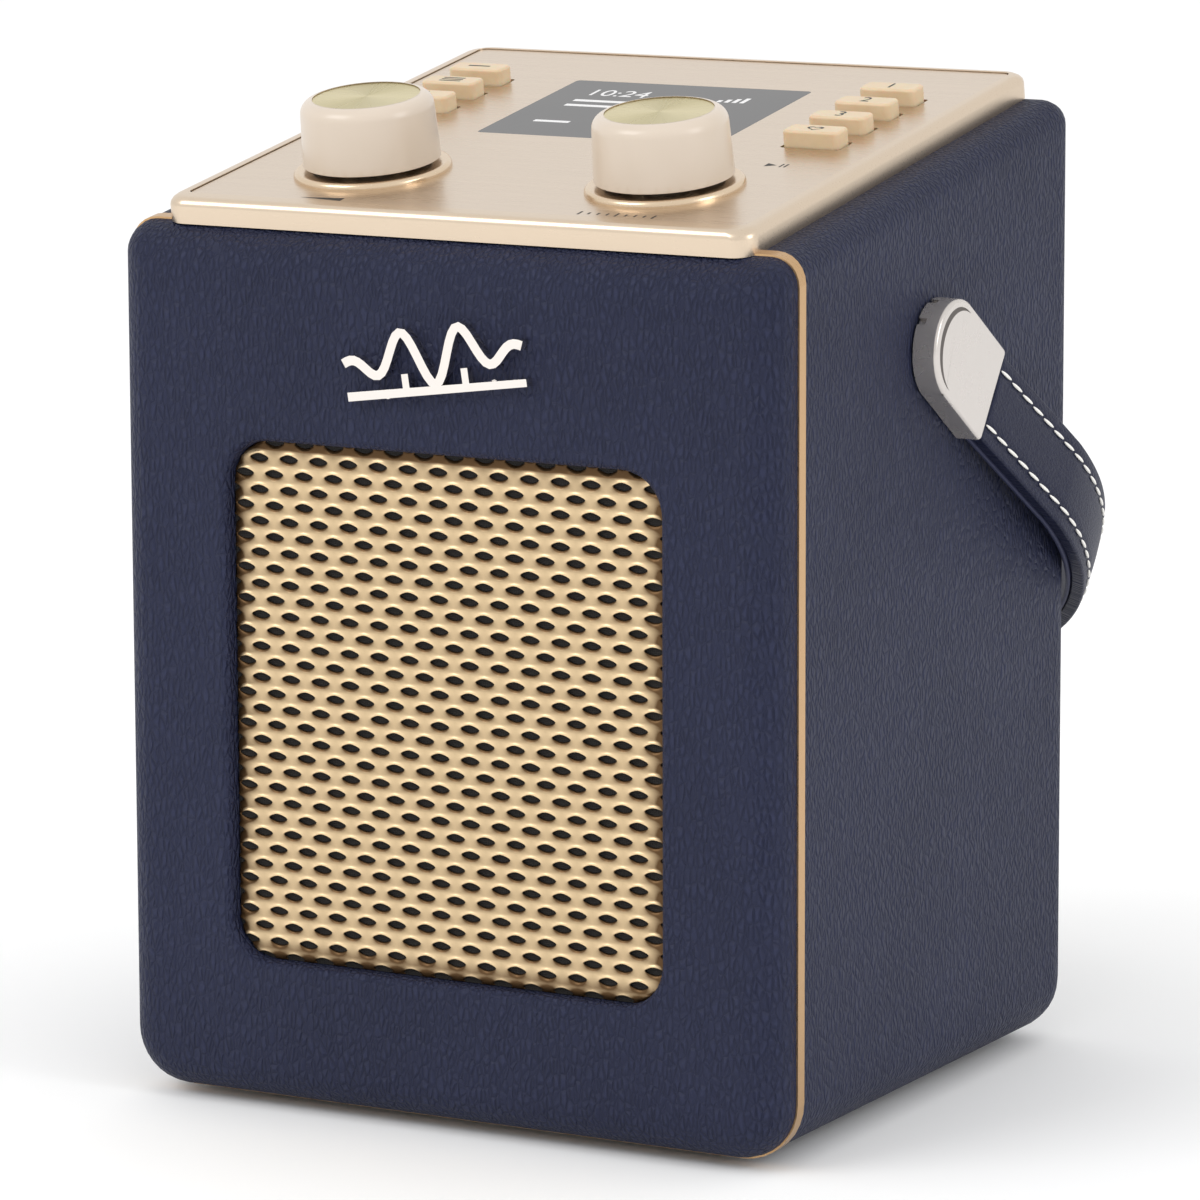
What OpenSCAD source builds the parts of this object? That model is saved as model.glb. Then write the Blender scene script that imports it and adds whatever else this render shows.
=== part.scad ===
/* [Cabinet] */
// Width of the cabinet over the leather
body_w = 118; // [106:1:144]
// Depth of the cabinet, front face to back face
body_d = 106.6; // [96:0.1:130]
// Height of the leather at the front edge of the sloping top
front_h = 138.6; // [132:0.1:170]
// Rise of the top towards the back, in degrees
slope = 9.2; // [7:0.1:11]
// Thickness of the covered board walls
wall = 5; // [4:0.5:6]
// Radius of the long bottom edges
bottom_r = 9.2; // [7:0.1:11]
// Radius of the long top edges
top_r = 4.5; // [3:0.1:6]
// Radius of the edges around the back face
back_edge_r = 7; // [5:0.5:8]
// Height of the rubber feet
foot_h = 1.5; // [1:0.1:3]
// Diameter of a rubber foot
foot_d = 11; // [8:0.5:14]

/* [Front] */
// Thickness of the leather-covered front flange, which is also its edge radius
flange_t = 6; // [5:0.5:8]
// Thickness of the plug board behind the flange
plug_t = 7; // [5:0.5:9]
// Width of the gold piping between front and shell
strip_w = 2.15; // [1.5:0.05:3]
// How far the piping stands above the leather
strip_proud = 0.3; // [0.2:0.1:0.6]
// Width of the speaker window
window_w = 77.2; // [72:0.1:86]
// Height of the speaker window
window_h = 83.3; // [78:0.1:90]
// Corner radius of the speaker window
window_r = 7; // [5:0.5:12]
// Height of the window's centre above the underside of the cabinet
window_up = 64.6; // [60:0.1:70]
// Depth from the leather to the face of the grille
grille_recess = 1.8; // [1.2:0.1:3]
// Thickness of the expanded-metal grille
grille_t = 0.9; // [0.6:0.1:1.2]
// Radius of the soft leather edge around the window
lip_r = 1.2; // [0.6:0.1:1.6]
// Thickness of the cloth behind the grille
cloth_t = 0.6; // [0.4:0.1:1]
// Length of the front ornament
badge_w = 32; // [26:1:38]
// Height of the ornament's wave
badge_h = 9; // [6:0.5:11]
// Tilt of the ornament, in degrees
badge_tilt = 8.6; // [0:0.1:12]
// Depth of the ornament off the leather
badge_t = 1.8; // [1:0.1:2.5]
// Distance of the ornament's centre below the front edge of the top
badge_down = 16.4; // [14:0.1:18]

/* [Top] */
// Clear leather at each side of the bezel
bezel_side = 7.05; // [5:0.05:9]
// Clear leather in front of the bezel
bezel_front = 3.9; // [3:0.1:6]
// Clear leather behind the bezel
bezel_back = 3.4; // [3:0.1:6]
// Height of the bezel above the leather
bezel_h = 4.1; // [3.5:0.1:5]
// Corner radius of the bezel
bezel_r = 3.5; // [2.5:0.1:5]
// Width of the bezel's rim at the sides
rim_side = 2.45; // [2:0.05:4]
// Width of the bezel's rim at the front
rim_front = 3.7; // [2:0.05:5]
// Width of the bezel's rim at the back
rim_back = 2; // [1.5:0.05:4]
// Depth of the plate below the rim
plate_sunk = 0.2; // [0.1:0.05:0.5]
// Thickness of the brushed plate
plate_t = 1.5; // [1.2:0.1:2]
// Width of the display window
display_w = 43.5; // [36:0.5:46]
// Depth of the display window along the top
display_l = 34.3; // [28:0.1:36]
// Distance of the display's centre from the back edge of the top
display_back = 39.4; // [38:0.1:44]

/* [Knobs] */
// Diameter of a knob at its foot
knob_d = 22; // [19:0.5:23]
// Diameter of a knob just under its rounded top
knob_top_d = 21.3; // [18:0.1:22.5]
// Height of a knob
knob_h = 10.5; // [9:0.1:13]
// Radius of a knob's rounded top edge
knob_r = 2.2; // [1.5:0.1:3]
// Distance of each knob from the centre line
knob_x = 26.2; // [24:0.1:28]
// Distance of the knobs from the front edge of the top
knob_s = 26.1; // [24:0.1:28]
// Diameter of the spun disc in a knob's top
disc_d = 17.5; // [14:0.1:18]
// Diameter of the collar under a knob
collar_d = 25.2; // [23.5:0.1:27]
// Thickness of the collar
collar_h = 1.1; // [0.8:0.1:1.6]
// Diameter of an encoder shaft
shaft_d = 6; // [5:0.1:6.4]
// Travel of a knob when it is pushed
push_travel = 0.5; // [0.3:0.1:0.6]

/* [Buttons] */
// Width of a button
button_w = 10; // [8:0.1:11]
// Length of a button along the top
button_l = 4.4; // [3.6:0.1:5.5]
// Height of a button above the plate
button_up = 2.7; // [2:0.1:3.5]
// Distance of each row of buttons from the centre line
button_x = 38.05; // [36:0.05:39]
// Distance of the first button from the back edge of the top
button_back = 26.15; // [24:0.05:28]
// Spacing of the buttons
button_pitch = 9.1; // [8:0.05:9.4]
// Travel of a button
button_travel = 0.6; // [0.3:0.1:0.8]

/* [Handle] */
// Place of the handle's pivot behind the middle of the cabinet
pivot_y = -0.9; // [-3:0.1:3]
// Height of the pivot above the underside of the cabinet
pivot_up = 120.3; // [110:0.1:125]
// Angle of the resting handle below level, in degrees
droop = 34.5; // [33:0.1:40]
// Radius of an arm's round end, which is half the arm's width
arm_r = 8.1; // [7:0.1:9]
// Length of an arm from its pivot to its blunt end
arm_len = 15.7; // [13:0.1:20]
// Thickness of an arm
arm_t = 4.1; // [3.8:0.1:5]
// Diameter of the stud that each arm turns on
stud_d = 5; // [4:0.5:6]
// Width of the leather strap
strap_w = 15.2; // [12:0.1:15.4]
// Thickness of the leather strap
strap_t = 2.5; // [2:0.1:2.8]
// Thickness of the strap's lining
lining_t = 0.8; // [0.6:0.1:1]
// Length of the strap's arch past its straight legs
arch_reach = 66; // [62:1:80]

/* [Speaker] */
// Width of the square speaker flange
speaker_w = 76; // [70:1:78]
// Radius of the opening behind the cone
cone_r = 33; // [30:0.5:33.5]
// Radius of the speaker magnet
magnet_r = 23; // [18:0.5:26]
// Radius of the voice coil
coil_r = 10; // [8:0.5:12]
// Depth of the speaker basket
basket_depth = 16.7; // [14:0.1:20]

/* [Back] */
// Thickness of the rear panel
rear_t = 2.5; // [2.4:0.1:3]
// Diameter of a battery cell
cell_d = 14.5; // [14:0.1:15]
// Length of a battery cell
cell_len = 50.5; // [49:0.1:51]
// Thickness of the battery door
door_t = 1.6; // [1.4:0.1:1.8]
// Bore of the headphone socket
phone_d = 3.6; // [3.5:0.1:3.8]
// Bore of the power socket
power_d = 5.6; // [5.5:0.1:6.4]

/* [Aerial] */
// Outer diameter of the first aerial tube
aerial_d = 6; // [5.4:0.1:7]
// Length of the first aerial tube
aerial_len = 80; // [70:1:84]
// How far each stage slides out
aerial_travel = 66; // [40:1:68]

/* [Hidden] */
$fn = 48;

// Clearances
fit = 0.02;          // fixed pieces that slip together
run = 0.05;          // radial room of a turning or sliding fit
gap = 0.3;           // room between pieces of different bodies
thin = 0.01;         // half the thickness of a cross-section slice

// Derived places
half_w = body_w / 2;
front_y = -body_d / 2;
back_y = body_d / 2;
base_z = foot_h;
strip_y = front_y + flange_t;
shell_y = strip_y + strip_w;
plug_y = strip_y + plug_t;
slope_len = body_d / cos(slope);
window_z = base_z + window_up;
grille_y = front_y + grille_recess;
cloth_y = grille_y + grille_t;
pocket_depth = grille_recess + grille_t + cloth_t;

// Top frame: x across, y along the slope from its front edge, z square to it
bezel_w = body_w - 2 * bezel_side;
bezel_len = slope_len - bezel_front - bezel_back;
plate_w = bezel_w - 2 * rim_side;
plate_s = bezel_front + rim_front;
plate_len = bezel_len - rim_front - rim_back;
plate_top = bezel_h - plate_sunk;
plate_under = plate_top - plate_t;
ledge = 2.5;         // width of the bezel's ledge under the plate
bezel_roll = 1.5;    // radius of the bezel's rolled outer edge
display_s = slope_len - display_back;
button_s = slope_len - button_back;
board_t = 1.6;       // thickness of the printed boards
encoder_h = 6.5;     // height of an encoder's body
encoder_w = 12;      // width of an encoder's body
board_top = plate_under - 8.8;
board_inset = 6;     // how far the control board stands inside the plate's edge
post_inset = 3.5;    // how far the posts stand inside the board's edge
post_r = 2.5;
bush_r = shaft_d / 2 + 0.9;
bush_top = plate_top + 3;
shaft_low = board_top + 2.1;
knob_foot = plate_top + collar_h + push_travel + 0.2;
knob_top = knob_foot + knob_h;
hub_low = bush_top + push_travel + gap;
disc_t = 0.8;
stem_low = board_top + 4.4;
screw_r = 1.5;       // shank radius of the wood screws
screw_reach = 5;     // how far the wood screws go into the plug board
small_screw_r = 1;   // shank radius of the board screws

// Handle frame: y along the resting strap, z square to it
pivot_z = base_z + pivot_up;
arm_gap = 0.4;
arm_x = half_w + arm_gap;
arm_out = arm_x + arm_t;
arch_out = 6.4;      // how far the arch spreads past the cabinet's side
arch_back = 19.8;    // how far ahead of the back face the arch starts
arch_half = half_w + arch_out;
arch_start = (body_d / 2 - pivot_y) / cos(droop) - arch_back;
tongue_t = 1.6;      // thickness of the strap's tongue inside an arm
tongue_x = arm_out - 0.1 - strap_t;
tongue_start = arm_r - 2.6;
lining_w = strap_w - 1;
bush_out_r = stud_d / 2 + 1.5;
nut_t = 2.7;
bush_in = half_w - wall - 3.5;

// Speaker frame: z runs back from the plug board
flange_thick = 1.6;
basket_z = flange_thick + basket_depth;
magnet_t = 12;
coil_gap = 0.6;      // half the width of the magnet's gap

// Back
rear_y = back_y - 0.3;               // outer face of the rear panel
rear_in = rear_y - rear_t;
rear_z = base_z + 8.5;
rear_h = front_h - 8;
rear_w = body_w - 20;
rear_land = 6;                       // width of the land that the rear panel screws to
rear_inset = 3.2;                    // how far the panel's screws stand inside its edge
cell_pitch = cell_d + 0.7;
nub_h = 1.2;                         // height of a cell's positive nub
nub_r = 2.7;
tray_wall = 1.5;
tray_in_w = cell_len + 7;
tray_in_h = 2 * cell_pitch + 1;
tray_depth = 2 * cell_pitch + 1;
tray_x = -8;                         // middle of the tray
tray_z = rear_z + 22;                // underside of the tray's cavity
door_w = tray_in_w + 5;
door_h = tray_in_h + 5;
door_z = tray_z - 2.5;
hinge_y = rear_y - door_t / 2;
hinge_z = door_z + door_t / 2;
hinge_pin_r = 0.45;
main_z = rear_z + rear_land + 0.5;   // underside of the main board
main_w = rear_w - 2 * rear_land - 4;
main_y = plug_y + 12;
main_len = rear_in - main_y - 1;
socket_z = main_z + board_t + 5;     // axis of both sockets
phone_x = 14;
phone_nose_r = 3;
power_x = 30;
power_nose_r = 4;
power_pin_r = 1;

// Aerial
aerial_x = -rear_w / 2 + 10;
aerial_z = rear_z + rear_h - 11;
tube_wall = 0.45;
tilt_y = rear_y + 6.7;
tongue_r = 3;
swivel_r = 2.5;
stage_step = 0.5;                    // how much further out each inner stage starts
boss_h = 3.3;                        // height of the swivel boss off the panel
tube_x = aerial_x + 4;

function top_z(y) = base_z + front_h + (y - front_y) * tan(slope);
function arc(cx, cy, r, from, to, steps) =
    [for (i = [0:steps]) let (a = from + (to - from) * i / steps) [cx + r * cos(a), cy + r * sin(a)]];
function outline(w, low, high, rb, rt) = concat(
    arc(w - rb, low + rb, rb, -90, 0, 8), arc(w - rt, high - rt, rt, 0, 90, 6),
    arc(rt - w, high - rt, rt, 90, 180, 6), arc(rb - w, low + rb, rb, 180, 270, 8));

// Frames
module on_top() translate([0, front_y, base_z + front_h]) rotate([slope, 0, 0]) children();
module on_handle() translate([0, pivot_y, pivot_z]) rotate([-droop, 0, 0]) children();
module on_speaker() translate([0, plug_y, window_z]) rotate([-90, 0, 0]) children();
module each_side() {
    children();
    mirror([1, 0, 0]) children();
}

// A thin cross-section of the cabinet at depth y, inset all round
module section(inset, y) translate([0, y, 0]) rotate([90, 0, 0]) linear_extrude(2 * thin, center = true)
    polygon(outline(half_w - inset, base_z + inset, top_z(y - thin) - inset / cos(slope),
        max(bottom_r - inset, 1), max(top_r - inset, 1)));

// The cabinet's form between two depths, with rounded end edges
module form(inset, y0, y1, r0 = 0, r1 = 0) hull() {
    for (a = r0 > 0 ? [0:15:90] : [0])
        section(inset + r0 * (1 - cos(a)), y0 + thin + max(r0 - 2 * thin, 0) * (1 - sin(a)));
    for (a = r1 > 0 ? [0:15:90] : [0])
        section(inset + r1 * (1 - cos(a)), y1 - thin - max(r1 - 2 * thin, 0) * (1 - sin(a)));
}

// A flat rounded rectangle about the origin
module rounded(w, l, r) {
    square([w - 2 * r, l], center = true);
    square([w, l - 2 * r], center = true);
    for (x = [-1, 1], y = [-1, 1]) translate([x * (w / 2 - r), y * (l / 2 - r)]) circle(r);
}
// The same as a block standing on z = 0
module slab(w, l, h, r) linear_extrude(h) rounded(w, l, r);
// A block upright in the x-z plane whose face is at y, h thick towards the back
module upright(w, tall, h, r, y) translate([0, y + h, 0]) rotate([90, 0, 0]) slab(w, tall, h, r);

// Four places at the corners of a rectangle
module corners(w, l) for (x = [-1, 1], y = [-1, 1]) translate([x * w / 2, y * l / 2, 0]) children();

module rear_corners() for (x = [-1, 1], z = [rear_z + rear_inset, rear_z + rear_h - rear_inset])
    translate([x * (rear_w / 2 - rear_inset), 0, z]) rotate([-90, 0, 0]) children();
module board_corners() let (inset = board_inset + post_inset)
    translate([0, plate_s + plate_len / 2, 0]) corners(plate_w - 2 * inset, plate_len - 2 * inset) children();
module main_corners() translate([0, main_y + main_len / 2, 0]) corners(main_w - 8, main_len - 8) children();

module cabinet_shell() color([0.10, 0.13, 0.25]) difference() {
    union() {
        difference() {
            form(0, shell_y, back_y, 0, back_edge_r);
            form(wall, shell_y - 1, back_y - wall);
        }
        main_corners() translate([0, 0, base_z + wall - 1]) cylinder(r = 3, h = main_z - base_z - wall + 1);
    }
    // opening under the bezel
    on_top() translate([0, plate_s + plate_len / 2, -2 * wall])
        slab(plate_w - 2 * ledge, plate_len - 2 * ledge, 4 * wall, 2);
    // opening and rebate for the rear panel
    translate([0, 0, rear_z + rear_h / 2]) {
        upright(rear_w - 2 * rear_land, rear_h - 2 * rear_land, 3 * wall, 3, back_y - 2 * wall);
        upright(rear_w + 2 * fit, rear_h + 2 * fit, rear_t + 1, 4, rear_in);
    }
    each_side() translate([half_w - 2 * wall, pivot_y, pivot_z]) rotate([0, 90, 0])
        cylinder(r = bush_out_r + fit, h = 3 * wall);
    main_corners() translate([0, 0, base_z + wall]) cylinder(r = small_screw_r + fit, h = main_z);
    translate([0, rear_in - 1.8, 0]) rear_corners() cylinder(r = small_screw_r + fit, h = 5);
}

// One step of the flare that turns the leather into the window round a soft edge
lip_steps = 4;
module lip_step(i) let (a = 90 * i / lip_steps, spread = lip_r * (1 - cos(a)))
    upright(window_w + 2 * spread, window_h + 2 * spread, 2 * thin, window_r + spread,
        front_y + lip_r * (1 - sin(a)) - thin);

module front_panel() color([0.10, 0.13, 0.25]) difference() {
    union() {
        form(0, front_y, strip_y, flange_t, 0);
        form(wall + fit, strip_y - 1, plug_y);
    }
    translate([0, 0, window_z]) {
        upright(window_w, window_h, pocket_depth + 1, window_r, front_y - 1);
        for (i = [0:lip_steps - 1]) hull() {
            lip_step(i);
            lip_step(i + 1);
        }
    }
    on_speaker() translate([0, 0, -plug_t - flange_t]) cylinder(r = cone_r + 1, h = 30, $fn = 72);
    speaker_corners() translate([0, 0, -screw_reach - 1]) cylinder(r = screw_r + fit, h = screw_reach + 2);
    badge_pins(fit);
}

module trim_strip() color([0.72, 0.58, 0.38]) difference() {
    form(-strip_proud, strip_y, shell_y);
    form(wall + fit, strip_y - 1, shell_y + 1);
    // flush with the leather where it runs under the bezel
    on_top() translate([0, bezel_front + bezel_len / 2, 0]) slab(bezel_w, bezel_len, 2, bezel_r);
}

module rear_panel() color([0.09, 0.10, 0.14]) difference() {
    union() {
        translate([0, 0, rear_z + rear_h / 2]) upright(rear_w, rear_h, rear_t, 4, rear_in);
        // rest under the folded aerial
        translate([aerial_x + aerial_len * 0.9, rear_y - 1, aerial_z - aerial_d / 2 - gap - 2])
            cube([4, aerial_d + 4, 2]);
    }
    // seat and mouth of the battery door
    translate([tray_x, 0, door_z + door_h / 2]) {
        upright(door_w + 2 * gap, door_h + 2 * gap, door_t + 1, 0.6, rear_y - door_t);
        upright(tray_in_w, tray_in_h, rear_t + 2, 1, rear_in - 1);
    }
    // finger notch above the door, and the hinge holes beside it
    translate([tray_x - 7, rear_y - 1, door_z + door_h - 1]) cube([14, 2, 5]);
    translate([tray_x - door_w / 2 - 1.6, hinge_y, hinge_z]) rotate([0, 90, 0])
        cylinder(r = hinge_pin_r + run, h = door_w + 3.2);
    panel_hole(aerial_x, aerial_z, swivel_r + run);
    panel_hole(phone_x, socket_z, phone_nose_r + fit);
    panel_hole(power_x, socket_z, power_nose_r + fit);
    translate([0, rear_in - 1, 0]) rear_corners() cylinder(r = small_screw_r + fit, h = rear_t + 2);
    translate([0, rear_y - 1, 0]) rear_corners() cylinder(r = 2.2, h = 2);
}

// A round hole through the rear panel
module panel_hole(x, z, r) translate([x, rear_in - 1, z]) rotate([-90, 0, 0]) cylinder(r = r, h = rear_t + 2);

module rear_screws() color([0.75, 0.75, 0.76]) translate([0, rear_y, 0]) rear_corners() difference() {
    union() {
        translate([0, 0, -1]) cylinder(r = 2.1, h = 1);
        translate([0, 0, -4]) cylinder(r = small_screw_r, h = 3.5);
    }
    cross_slot(1.4);
}

// Cross recess cut into a screw head whose top is at z = 0
module cross_slot(r) for (a = [0, 90]) rotate([0, 0, a]) translate([-r, -0.25, -0.6]) cube([2 * r, 0.5, 1]);

module feet() color([0.08, 0.08, 0.08])
    corners(body_w - 2 * bottom_r - foot_d - 4, body_d - 2 * back_edge_r - foot_d - 6)
        cylinder(r1 = foot_d / 2 - 0.6, r2 = foot_d / 2, h = foot_h);

module top_bezel() color([0.85, 0.78, 0.68]) on_top() difference() {
    translate([0, bezel_front + bezel_len / 2, 0]) hull() for (a = [0:22.5:90])
        let (inset = 2 * bezel_roll * (1 - cos(a)))
            slab(bezel_w - inset, bezel_len - inset, bezel_h - bezel_roll * (1 - sin(a)), bezel_r);
    translate([0, plate_s + plate_len / 2, plate_under]) slab(plate_w, plate_len, 2 * bezel_h, 1.5);
    translate([0, plate_s + plate_len / 2, -1]) slab(plate_w - 2 * ledge, plate_len - 2 * ledge, 9, 2);
}

module top_plate() color([0.86, 0.80, 0.72]) on_top() difference() {
    union() {
        translate([0, plate_s + plate_len / 2, plate_under])
            slab(plate_w - 2 * plate_sunk, plate_len - 2 * plate_sunk, plate_t, 1.3);
        board_corners() translate([0, 0, board_top])
            cylinder(r = post_r, h = plate_under - board_top + 0.5);
    }
    each_side() translate([knob_x, knob_s, board_top]) cylinder(r = bush_r + run, h = 20);
    translate([0, display_s, 0]) slab(display_w, display_l, 20, 0.8);
    button_places() slab(button_w + 2 * gap, button_l + 2 * gap, 20, 0.6);
    board_corners() translate([0, 0, board_top - 1]) cylinder(r = small_screw_r + fit, h = 7);
}

module display_window() color([0.20, 0.20, 0.22]) on_top() translate([0, display_s, plate_under])
    slab(display_w - 2 * fit, display_l - 2 * fit, plate_t, 0.8);

module display_module() color([0.30, 0.32, 0.34]) on_top() translate([0, display_s, board_top])
    difference() {
        slab(display_w - 2, display_l - 2, plate_under - board_top, 1);
        translate([0, 0, -1]) slab(display_w - 6, display_l - 6, plate_under - board_top - 1.5, 1);
    }

module control_board() color([0.10, 0.35, 0.20]) on_top() difference() {
    translate([0, plate_s + plate_len / 2, board_top - board_t])
        slab(plate_w - 2 * board_inset, plate_len - 2 * board_inset, board_t, 1);
    board_corners() translate([0, 0, board_top - 4]) cylinder(r = small_screw_r + fit, h = 8);
}

// The seven button places: four at the right, three at the left
module button_places() for (side = [-1, 1], row = [0:side > 0 ? 3 : 2]) button_place(side, row) children();
module button_place(side, row) translate([side * button_x, button_s - row * button_pitch, 0]) children();

module key_switches() color([0.15, 0.15, 0.16]) on_top() button_places() translate([0, 0, board_top]) {
    slab(6, 6, 2.4, 0.5);
    cylinder(r = 1.6, h = stem_low - board_top - button_travel - gap);
}

module button(side, row) color([0.94, 0.91, 0.83]) on_top() button_place(side, row) {
    translate([0, 0, stem_low]) slab(button_w, button_l, plate_top + button_up - stem_low - 0.4, 0.8);
    // eased top edge
    translate([0, 0, plate_top + button_up - 0.4]) slab(button_w - 0.5, button_l - 0.5, 0.4, 0.6);
    // flange that keeps it under the plate
    translate([0, 0, plate_under - gap - 0.8]) slab(button_w + 1.4, button_l + 1.4, 0.8, 0.8);
}
module preset_one_button() button(1, 0);
module preset_two_button() button(1, 1);
module preset_three_button() button(1, 2);
module favourite_button() button(1, 3);
module mode_button() button(-1, 0);
module menu_button() button(-1, 1);
module info_button() button(-1, 2);

module on_knob(side) on_top() translate([side * knob_x, knob_s, 0]) children();

// A hollow knob with a hub that grips the shaft
module knob(side) color([0.93, 0.89, 0.82]) on_knob(side) {
    rotate_extrude() polygon(concat(
        [[knob_d / 2 - 1.6, knob_foot], [knob_d / 2, knob_foot]],
        arc(knob_top_d / 2 - knob_r, knob_top - knob_r, knob_r, 0, 90, 8),
        [[disc_d / 2 + fit, knob_top], [disc_d / 2 + fit, knob_top - disc_t],
         [shaft_d / 2 + fit, knob_top - disc_t], [shaft_d / 2 + fit, hub_low],
         [shaft_d / 2 + 2, hub_low], [shaft_d / 2 + 2, knob_top - 2.4],
         [knob_top_d / 2 - 1.6, knob_top - 2.4]]));
}
module volume_knob() knob(-1);
module tuning_knob() knob(1);

module knob_disc(side) color([0.80, 0.78, 0.60]) on_knob(side) translate([0, 0, knob_top - disc_t])
    cylinder(r = disc_d / 2, h = disc_t - 0.15);
module volume_disc() knob_disc(-1);
module tuning_disc() knob_disc(1);

module collar(side) color([0.86, 0.80, 0.72]) on_knob(side) rotate_extrude() polygon(concat(
    [[bush_r + run, plate_top], [collar_d / 2, plate_top]],
    arc(collar_d / 2 - 0.8, plate_top + collar_h - 0.8, 0.8, 0, 90, 5),
    [[bush_r + run, plate_top + collar_h]]));
module volume_collar() collar(-1);
module tuning_collar() collar(1);

module shaft(side) color([0.75, 0.76, 0.78]) on_knob(side) difference() {
    translate([0, 0, shaft_low]) cylinder(r = shaft_d / 2, h = knob_top - disc_t - shaft_low);
    // split that springs the shaft open inside the hub
    translate([-shaft_d, -0.4, hub_low]) cube([2 * shaft_d, 0.8, knob_h]);
}
module volume_shaft() shaft(-1);
module tuning_shaft() shaft(1);

// The peg that carries a push down to the switch
module plunger(side) color([0.15, 0.15, 0.16]) on_knob(side)
    translate([0, 0, board_top + push_travel + 0.1])
        cylinder(r = 1.5, h = shaft_low - board_top - push_travel - 0.1);
module volume_plunger() plunger(-1);
module tuning_plunger() plunger(1);

module encoder(side) color([0.60, 0.61, 0.62]) on_knob(side) difference() {
    union() {
        translate([0, 0, board_top]) slab(encoder_w, encoder_w, encoder_h, 0.6);
        translate([0, 0, board_top]) cylinder(r = bush_r, h = bush_top - board_top);
    }
    translate([0, 0, shaft_low - push_travel - 0.1]) cylinder(r = shaft_d / 2 + run, h = 30);
    translate([0, 0, board_top - 1]) cylinder(r = 1.5 + run, h = 10);
}
module volume_encoder() encoder(-1);
module tuning_encoder() encoder(1);

// Ornament: a swelling and fading wave on a tapered bar
badge_steps = 48;
badge_line = 0.75;   // half the width of the wave's ribbon
badge_turns = 1080;  // three full waves along the ribbon
function wave(t) = badge_h / 2 * sin(180 * t) * cos(badge_turns * t);
function wave_slope(t) = badge_h / 2 * PI / 180 / badge_w
    * (180 * cos(180 * t) * cos(badge_turns * t) - badge_turns * sin(180 * t) * sin(badge_turns * t));
function wave_edge(t, side) = let (m = wave_slope(t), k = badge_line / sqrt(1 + m * m))
    [(t - 0.5) * badge_w - side * m * k, wave(t) + side * k];
module on_badge() translate([0, front_y, base_z + front_h - badge_down])
    rotate([90, -badge_tilt, 0]) children();
module badge_pins(room) on_badge() for (x = [-1, 1])
    translate([x * badge_w * 0.3, -badge_h / 2 - 1, -3]) cylinder(r = 0.7 + room, h = 3.5);
module badge() {
    color([0.86, 0.85, 0.83]) on_badge() linear_extrude(badge_t) {
        for (i = [0:badge_steps - 1]) let (t = i / badge_steps, next = (i + 1) / badge_steps)
            polygon([wave_edge(t, -1), wave_edge(next, -1), wave_edge(next, 1), wave_edge(t, 1)]);
        translate([-badge_w / 2, -badge_h / 2 - 1.8])
            polygon([[0, 0.4], [badge_w, 0], [badge_w, 1.2], [0, 1.8]]);
        for (x = [-1, 1]) translate([x * badge_w / 6 - 0.6, -badge_h / 2 - 1]) square([1.2, 3]);
    }
    badge_pins(0);
}

module speaker_grille() color([0.93, 0.84, 0.68]) translate([0, 0, window_z])
    upright(window_w - 2 * run, window_h - 2 * run, grille_t, window_r, grille_y);

module grille_cloth() color([0.10, 0.09, 0.08]) translate([0, 0, window_z])
    upright(window_w - 2 * run, window_h - 2 * run, cloth_t, window_r, cloth_y);

module speaker_frame() color([0.25, 0.26, 0.28]) on_speaker() difference() {
    union() {
        slab(speaker_w, speaker_w, flange_thick, 5);
        rotate_extrude() polygon([[cone_r, flange_thick - 0.5], [cone_r + 1.5, flange_thick - 0.5],
            [magnet_r + 0.5, basket_z], [coil_r + 2, basket_z], [coil_r + 2, basket_z - 1.5],
            [magnet_r - 1.5, basket_z - 1.5]]);
    }
    translate([0, 0, -1]) cylinder(r = cone_r, h = flange_thick + 1.2);
    corners(speaker_w - 10, speaker_w - 10) translate([0, 0, -1])
        cylinder(r = screw_r + fit, h = flange_thick + 2);
    for (a = [0:90:270]) rotate([0, 0, a + 45]) translate([magnet_r - 4, -9, flange_thick + 3])
        cube([20, 18, basket_depth - 7]);
}

module speaker_magnet() color([0.20, 0.20, 0.21]) on_speaker() translate([0, 0, basket_z]) rotate_extrude()
    let (low = coil_r - coil_gap, high = coil_r + coil_gap, floor = magnet_t - 3)
        polygon([[0, 0], [low, 0], [low, floor], [high, floor], [high, 0], [magnet_r, 0],
            [magnet_r, magnet_t], [0, magnet_t]]);

// Paper cone with a rolled surround and a domed cap, clear of the frame all round
module speaker_cone() color([0.13, 0.13, 0.14]) on_speaker() rotate_extrude()
    let (rim = cone_r - 0.8, roll = 2.6, inner = rim - 2 * roll, deep = basket_z - 5)
        polygon(concat(
            [[0, deep - 5], [coil_r * 0.6, deep - 3.8], [coil_r + 0.4, deep - 0.6], [inner - 0.4, 0]],
            arc(inner + roll, 0, roll, 180, 360, 8),
            [[rim, 0.6]], arc(inner + roll, 0.6, roll - 0.5, 360, 180, 8),
            [[inner, 1], [coil_r + 0.4, deep + 0.4], [0, deep + 0.4]]));

module voice_coil() color([0.70, 0.45, 0.25]) on_speaker() translate([0, 0, basket_z - 4.6]) difference() {
    cylinder(r = coil_r + 0.2, h = 11);
    translate([0, 0, -1]) cylinder(r = coil_r - 0.2, h = 13);
}

module speaker_corners() on_speaker() corners(speaker_w - 10, speaker_w - 10) children();

module speaker_screws() color([0.75, 0.75, 0.76]) speaker_corners() {
    translate([0, 0, -screw_reach]) cylinder(r = screw_r, h = flange_thick + screw_reach + 0.5);
    translate([0, 0, flange_thick]) cylinder(r = 2.6, h = 1.6);
}

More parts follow.
